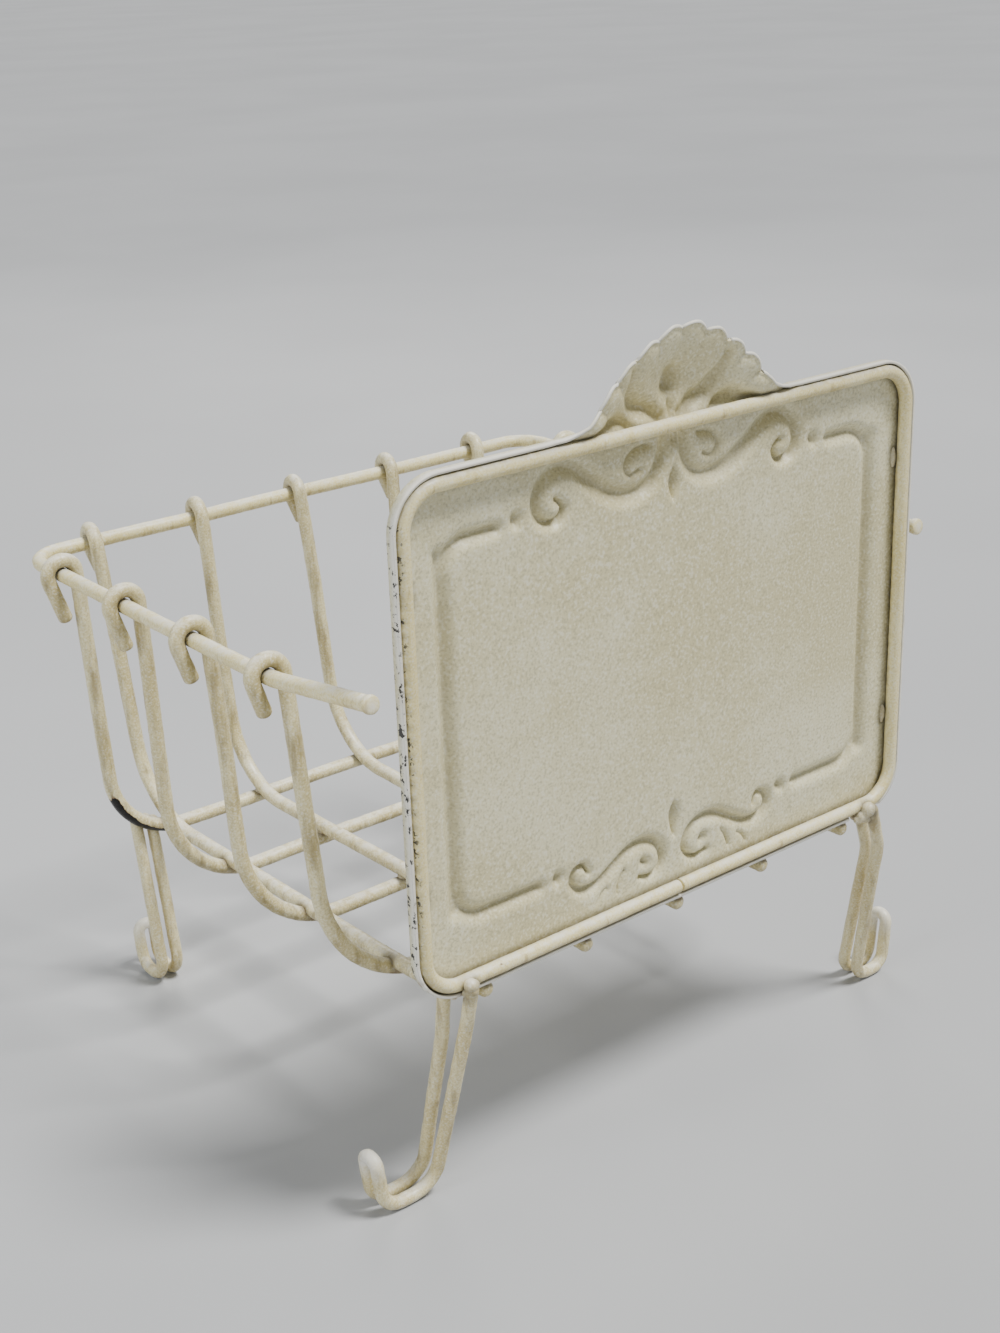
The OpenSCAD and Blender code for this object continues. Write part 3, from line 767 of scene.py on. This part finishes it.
legs = [
    wire_piece("leg_back_left", back_leg_line(-66.4 * mm, (-73.4, 0.4, -14), (-76.4, -8.2), 11.2, 16.4),
               leg_paint, 31, wander=0.25 * mm),
    wire_piece("leg_back_right", back_leg_line(67.1 * mm, (66.4, -0.6, -12), (69.2, -12.4), 14.6, 15.8),
               leg_paint, 32, wander=0.25 * mm),
    wire_piece("leg_front_left", front_leg_line(-1), leg_paint, 33, wander=0.25 * mm),
    wire_piece("leg_front_right", front_leg_line(1), leg_paint, 34, wander=0.25 * mm),
]


# ---- Welds ---------------------------------------------------------------------------------
# Spot welds where the floor's wires cross, tacks between the frame wire and the sheet, and
# rough beads at the rib ends and the legs, all painted over with the rest.


def bead_tree():
    """Puts a rough bead at every point, each turned and lumped in its own way"""
    tree = bpy.data.node_groups.new("weld_beads", "GeometryNodeTree")
    face = tree.interface
    face.new_socket("Places", in_out="INPUT", socket_type="NodeSocketGeometry")
    for title, value in (("Bead radius", 1.9 * mm), ("Roughness", 0.5 * mm), ("Grain", 1.4 * mm)):
        face.new_socket(title, in_out="INPUT", socket_type="NodeSocketFloat").default_value = value
    face.new_socket("Stretch", in_out="INPUT", socket_type="NodeSocketVector").default_value = (1, 1, 1)
    face.new_socket("Paint", in_out="INPUT", socket_type="NodeSocketMaterial")
    face.new_socket("Beads", in_out="OUTPUT", socket_type="NodeSocketGeometry")
    nodes, links = tree.nodes, tree.links
    given, made = nodes.new("NodeGroupInput"), nodes.new("NodeGroupOutput")
    ball = nodes.new("GeometryNodeMeshIcoSphere")
    ball.inputs["Subdivisions"].default_value = 4
    links.new(given.outputs["Bead radius"], ball.inputs["Radius"])
    each = nodes.new("GeometryNodeInstanceOnPoints")
    links.new(given.outputs["Places"], each.inputs["Points"])
    links.new(ball.outputs["Mesh"], each.inputs["Instance"])
    links.new(given.outputs["Stretch"], each.inputs["Scale"])
    real = nodes.new("GeometryNodeRealizeInstances")
    links.new(each.outputs["Instances"], real.inputs["Geometry"])
    lump = nodes.new("ShaderNodeTexNoise")
    lump.inputs["Detail"].default_value = 2
    size = nodes.new("ShaderNodeMath")
    size.operation = "DIVIDE"
    size.inputs[0].default_value = 1
    links.new(given.outputs["Grain"], size.inputs[1])
    links.new(size.outputs[0], lump.inputs["Scale"])
    centred = nodes.new("ShaderNodeMath")
    centred.operation = "SUBTRACT"
    centred.inputs[1].default_value = 0.5
    links.new(lump.outputs["Fac"], centred.inputs[0])
    height = nodes.new("ShaderNodeMath")
    height.operation = "MULTIPLY"
    links.new(centred.outputs[0], height.inputs[0])
    links.new(given.outputs["Roughness"], height.inputs[1])
    normal = nodes.new("GeometryNodeInputNormal")
    swell = nodes.new("ShaderNodeVectorMath")
    swell.operation = "SCALE"
    links.new(normal.outputs[0], swell.inputs[0])
    links.new(height.outputs[0], swell.inputs["Scale"])
    lumpy = nodes.new("GeometryNodeSetPosition")
    links.new(real.outputs["Geometry"], lumpy.inputs["Geometry"])
    links.new(swell.outputs[0], lumpy.inputs["Offset"])
    smoothed = nodes.new("GeometryNodeSetShadeSmooth")
    links.new(lumpy.outputs["Geometry"], smoothed.inputs["Geometry"])
    painted = nodes.new("GeometryNodeSetMaterial")
    links.new(smoothed.outputs["Geometry"], painted.inputs["Geometry"])
    links.new(given.outputs["Paint"], painted.inputs["Material"])
    links.new(painted.outputs["Geometry"], made.inputs["Beads"])
    return tree


bead_nodes = bead_tree()
weld_paint = wire_paint("weld_paint", paint(230, 220, 182), paint(218, 206, 160), paint(158, 140, 96), 0.5)


def bead_piece(name, node, places, radius, stretch=(1, 1, 1), roughness=0.5 * mm):
    """Rough weld beads at the places"""
    points = bpy.data.meshes.new(name)
    points.from_pydata([tuple(p) for p in places], [], [])
    piece = add_piece(name, points)
    beads = piece.modifiers.new("beads", "NODES")
    beads.node_group = bead_nodes
    for title, value in (("Bead radius", radius), ("Stretch", stretch),
                         ("Roughness", roughness), ("Paint", weld_paint)):
        set_input(beads, bead_nodes, title, value)
    make_plain(piece)
    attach(piece, "root")
    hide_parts(node)
    return piece


crossings = []
for y in cross_floor:
    # the first rib rests on the outside of the long ribs' bends, so its welds lie back and up
    first = y == cross_floor[0]
    weld_y, weld_z = (y + 0.85 * mm, cross_z + first_rise + 1.7 * mm) if first else (y, cross_z + rib_rod)
    crossings += [Vector((long_floor_x(j, y), weld_y, weld_z)) for j in range(5)]
welds = [bead_piece("floor_spot_welds", "floor_welds", crossings, 1.45 * mm, (1, 1, 0.7))]
tack_heights = [frame_base_z + share * (frame_top_z - frame_base_z) for share in (0.2, 0.8)]
tacks = [Vector((x * (frame_half - rod - 0.25 * mm), frame_mid_y - rod, tack_z))
         for x in (-1, 1) for tack_z in tack_heights]
welds.append(bead_piece("frame_tacks", "frame_welds", tacks, 1.0 * mm, (0.8, 0.7, 2.6)))
stub_welds = [Vector(((2 - j) * long_floor_pitch, frame_mid_y - 1.2 * mm, plate_foot_z - 0.4 * mm))
              for j in range(5)]
welds.append(bead_piece("rib_end_beads", "rib_end_welds", stub_welds, 1.2 * mm, (1, 1.2, 0.5)))


def lump_piece(name, node, balls):
    """A gathered lump of weld metal: overlapping balls melted into one skin"""
    parts = []
    for place, radius in balls:
        bpy.ops.mesh.primitive_uv_sphere_add(segments=24, ring_count=16, radius=radius, location=place)
        parts.append(bpy.context.object)
    with bpy.context.temp_override(active_object=parts[0], object=parts[0], selected_editable_objects=parts):
        bpy.ops.object.join()
    piece = parts[0]
    piece.name = name
    piece.data.transform(piece.matrix_world)
    piece.matrix_world = Matrix.Identity(4)
    melt = piece.modifiers.new("melt", "REMESH")
    melt.mode = "VOXEL"
    melt.voxel_size = 0.28 * mm
    soften = piece.modifiers.new("soften", "SMOOTH")
    soften.factor = 0.7
    soften.iterations = 6
    make_plain(piece)
    piece.data.shade_smooth()
    piece.data.materials.clear()
    piece.data.materials.append(weld_paint)
    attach(piece, "root")
    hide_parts(node)
    return piece


low_mid = Vector((0, frame_mid_y, frame_base_z))
knob = [(low_mid + Vector(p) * mm, r * mm) for p, r in (
    # back left leg: a lumpy knob where the two strands twist together
    ((-66.2, 2.7, -0.4), 2.0), ((-64.6, 1.8, -2.2), 1.5), ((-63.6, 1.2, -3.2), 1.1),
    ((-66.6, 1.6, -3.0), 1.7), ((-68.2, -0.8, -4.8), 1.4), ((-66.0, -2.0, -4.0), 1.2),
    ((-67.8, -3.2, -2.6), 1.4),
    # back right leg: a bead run up on to the frame wire
    ((67.0, 2.9, 0.4), 1.75), ((65.6, 2.2, -0.2), 1.3), ((67.2, 1.8, -2.0), 1.4), ((68.6, -1.6, -3.4), 1.1),
    ((68.4, -3.5, -2.0), 1.2))]
for side in (1, -1):
    rib_side = Vector((side * 68.6 * mm, cross_floor[0] - rib_rod, cross_z + first_rise + 3.4 * mm))
    knob += [(rib_side + Vector((side * p[0], p[1], p[2])) * mm, r * mm) for p, r in (
        ((0, -0.2, 0), 1.7), ((2.2, -0.2, 1.5), 1.5), ((-2.2, -0.1, -0.9), 1.5), ((-3.8, 0, -1.8), 1.1))]
welds.append(lump_piece("leg_weld_lumps", "leg_welds", knob))


# ---- Painted shade, dirt, rust and chips ---------------------------------------------------
# Painted contact shade mixed with grime darkens the paint where two pieces lie close. Years of handling:
# rust at the welds, black specks on the flange, pale rubbed feet, and one long chip of bare steel under the
# first rib.

painted = [plate, frame_rod, rail] + cross_ribs + long_ribs + legs + welds
points = {}
for piece in painted:
    flat = np.empty(len(piece.data.vertices) * 3, np.float32)
    piece.data.vertices.foreach_get("co", flat)
    points[piece.name] = flat.reshape(-1, 3).astype(float)


def mark_piece(piece, name, values):
    """Stores one value a point on a piece, or adds to what is there"""
    layer = piece.data.attributes.get(name) or piece.data.attributes.new(name, "FLOAT", "POINT")
    old = np.zeros(len(piece.data.vertices), np.float32)
    layer.data.foreach_get("value", old)
    layer.data.foreach_set("value", np.clip(np.maximum(old, values), 0, 1).astype(np.float32))


def near_other(piece, reach):
    """Distance from each point of a piece to the nearest point of any other piece"""
    mine = points[piece.name]
    nearest = np.full(len(mine), reach)
    for other in painted:
        if other is piece:
            continue
        theirs = points[other.name]
        low, high = theirs.min(0) - reach, theirs.max(0) + reach
        close = np.where(np.all((mine > low) & (mine < high), 1))[0]
        if not close.size:
            continue
        low, high = mine[close].min(0) - reach, mine[close].max(0) + reach
        useful = theirs[np.all((theirs > low) & (theirs < high), 1)]
        if not len(useful):
            continue
        tree = KDTree(len(useful))
        for k, p in enumerate(useful):
            tree.insert(p, k)
        tree.balance()
        for k in close:
            nearest[k] = min(nearest[k], tree.find(mine[k])[2])
    return nearest


def fade(distance, reach):
    return np.clip(1 - distance / reach, 0, 1)


# painted contact shade and grime: each piece darkens within reach of any other piece
grime_and_shade_reach = 2.2 * mm
for piece in painted:
    strength = 0.5 if piece in welds else 0.85
    mark_piece(piece, "grime_and_contact_shade", strength * fade(near_other(piece, grime_and_shade_reach), grime_and_shade_reach) ** 1.6)


def around(piece, place, reach):
    return fade(np.linalg.norm(points[piece.name] - np.array(place), axis=1), reach)


# rust where the cross ribs pass under the outer long ribs, at the stubs and at the legs' tops
rusty = [(p, 3.6 * mm) for p in crossings if abs(p.x) > 50 * mm] + [(p, 1.9 * mm) for p in crossings]
rusty += [(p, 1.8 * mm) for p in stub_welds]
rusty += [(low_mid + Vector((x, 0, -3)) * mm, 3.4 * mm) for x in (67, -66)]
rusty += [(low_mid + Vector((78.5, -3, 3)) * mm, 5.0 * mm)]
for piece in painted:
    for place, reach in rusty:
        mark_piece(piece, "rust", 0.9 * around(piece, place, reach) ** 0.8)

# rubbed tips of the curled feet, and the undersides they stand on
foot_y = cross_floor[0] - rib_rod - rod - 8.5 * mm
tips = [(-89.2 * mm, frame_mid_y - 10.6 * mm, 15.5 * mm), (85.4 * mm, frame_mid_y - 14.8 * mm, 15 * mm),
        (-67.2 * mm, foot_y, 13 * mm), (67.2 * mm, foot_y, 13 * mm)]
for leg, tip in zip(legs, tips):
    mark_piece(leg, "worn", 1.2 * around(leg, tip, 6.5 * mm))
    mark_piece(leg, "worn", 0.6 * (1 - smooth(0.4 * mm, 1.6 * mm, points[leg.name][:, 2])))

# black specks down the flange's +X side and on the frame wire beside it
p = points[plate.name]
mark_piece(plate, "specks", smooth(79.0 * mm, 79.6 * mm, p[:, 0]))
p = points[frame_rod.name]
mark_piece(frame_rod, "specks", 0.9 * smooth(77.6 * mm, 78.4 * mm, p[:, 0]))
mark_piece(frame_rod, "chip", 0.52 * around(frame_rod, low_mid + Vector((57, 1.2, 1.2)) * mm, 1.6 * mm))

# the bare chip round the outside of the first rib's +X bend
rib = cross_ribs[0]
p = points[rib.name] / mm
bend_mid_x = (arm_x - floor_inset) / mm - first_bend
bend_mid_z = (cross_z + first_rise) / mm + first_bend
turn = np.degrees(np.arctan2(p[:, 0] - bend_mid_x, bend_mid_z - p[:, 2]))
reach_out = np.hypot(p[:, 0] - bend_mid_x, p[:, 2] - bend_mid_z) - first_bend
along_chip = smooth(6, 24, turn) * (1 - smooth(62, 86, turn))
outside = smooth(-0.4, 1.3, reach_out - 0.3 * (p[:, 1] - cross_floor[0] / mm))
mark_piece(rib, "chip", 0.95 * along_chip * outside * (p[:, 0] > 0))

# a dark patch just under each of the rail's cut ends, and a pale one at each tip
for x in (arm_x, -arm_x):
    end = Vector((x, rail_end_y - 1.6 * mm, rail_z + rail_lift - 0.2 * mm))
    mark_piece(rail, "chip", 0.62 * around(rail, end + Vector((0, 0, -1.5 * mm)), 1.7 * mm))
    mark_piece(rail, "worn", 0.8 * around(rail, end + Vector((0, 1.6 * mm, 0)), 2.2 * mm))


# ---- Camera, floor and light ---------------------------------------------------------------
# A level pale floor, one broad sun-like light from above and two weak soft lamps. The camera
# stands behind the plate, to its +X side and above it, and tilts a little.

view_azimuth, view_height, view_roll = math.radians(141.65), math.radians(21.49), math.radians(-2.07)
back = Vector((math.sin(view_azimuth) * math.cos(view_height),
               -math.cos(view_azimuth) * math.cos(view_height), math.sin(view_height)))
level_right = Vector((0, 0, 1)).cross(back).normalized()
level_up = back.cross(level_right)
right = level_right * math.cos(view_roll) + level_up * math.sin(view_roll)
up = back.cross(right)
aim = low_mid + Vector((53.3, 0, 72.0)) * mm
turned = Matrix((right, up, back)).transposed().to_4x4()
lens = bpy.data.cameras.new("camera")
lens.sensor_width = 36
lens.lens = 51.23
lens.clip_start = 0.01
camera = bpy.data.objects.new("camera", lens)
camera.matrix_world = Matrix.Translation(aim + back * 404.8 * mm) @ turned
bpy.context.scene.collection.objects.link(camera)
bpy.context.scene.camera = camera

bpy.ops.mesh.primitive_plane_add(size=60, location=(0, 0, 0))
floor = bpy.context.object
floor.name = "floor"
ground = Shades("floor_card")
clouding = ground.step(ground.grain(3.0), 0.3, 0.7)
ground_colour = ground.blend(clouding, paint(176, 178, 181), paint(182, 184, 187))
ground.put(ground.skin.inputs["Base Color"], ground_colour)
ground.skin.inputs["Roughness"].default_value = 0.6
floor.data.materials.append(ground.material)
floor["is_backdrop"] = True


def soft_light(name, place, size, power, colour):
    lamp = bpy.data.lights.new(name, "AREA")
    lamp.shape = "RECTANGLE"
    lamp.size, lamp.size_y = size
    lamp.energy = power
    lamp.color = colour
    light = bpy.data.objects.new(name, lamp)
    light.location = place
    light.rotation_mode = "QUATERNION"
    light.rotation_quaternion = (Vector(place) - Vector((0, 0, 0.09))).to_track_quat("Z", "Y")
    bpy.context.scene.collection.objects.link(light)


key = bpy.data.lights.new("key_light", "SUN")
key.energy = 4.3
key.angle = math.radians(16)
key.color = (1.0, 0.985, 0.95)
key_light = bpy.data.objects.new("key_light", key)
key_light.rotation_mode = "QUATERNION"
key_light.rotation_quaternion = Vector((-0.30, 0.40, 1.0)).to_track_quat("Z", "Y")
bpy.context.scene.collection.objects.link(key_light)
soft_light("back_light", (-0.55, -0.75, 0.75), (0.5, 0.5), 4.0, (1.0, 0.97, 0.92))
soft_light("side_light", (0.95, 0.1, 0.5), (0.35, 0.6), 4.5, (0.95, 0.98, 1.0))
world = bpy.data.worlds.new("studio")
world.use_nodes = True
world.node_tree.nodes["Background"].inputs["Color"].default_value = (0.80, 0.82, 0.85, 1)
world.node_tree.nodes["Background"].inputs["Strength"].default_value = 0.30
bpy.context.scene.world = world

low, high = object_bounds()
